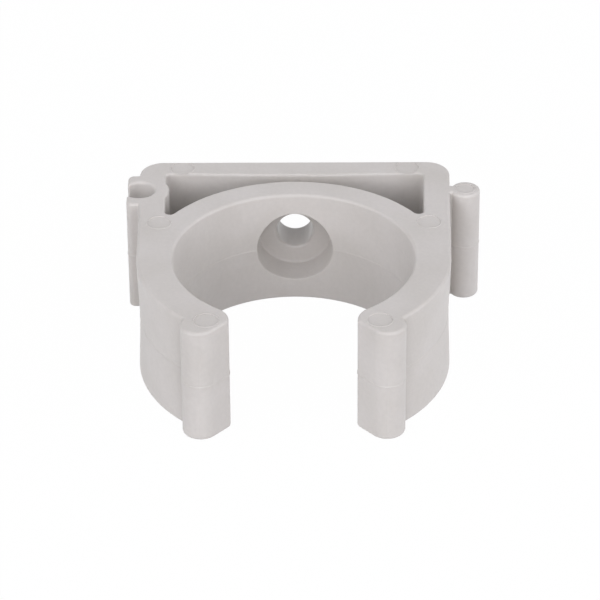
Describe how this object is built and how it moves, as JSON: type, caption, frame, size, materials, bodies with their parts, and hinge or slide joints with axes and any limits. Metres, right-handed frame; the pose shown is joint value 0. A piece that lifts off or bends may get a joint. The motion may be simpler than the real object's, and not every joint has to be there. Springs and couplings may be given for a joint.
{
  "type": "pipe clip",
  "caption": "Open C-shaped snap-in clip for a 32 mm pipe, with a flat screw-on base and a pin and socket that couple it side by side.",
  "frame": {"origin": "on the pipe's axis, in the plane of the end face that the clip rests on", "axes": "+Z along the pipe, +Y from the pipe to the mounting face, the mouth opens towards -Y, the coupling pin is on +X"},
  "size_m": [0.0481, 0.0442, 0.0165],
  "materials": {
    "body": "light grey moulded polypropylene, fine matt grain"
  },
  "bodies": {
    "root": {"pipe_clip": "body"}
  },
  "joints": []
}
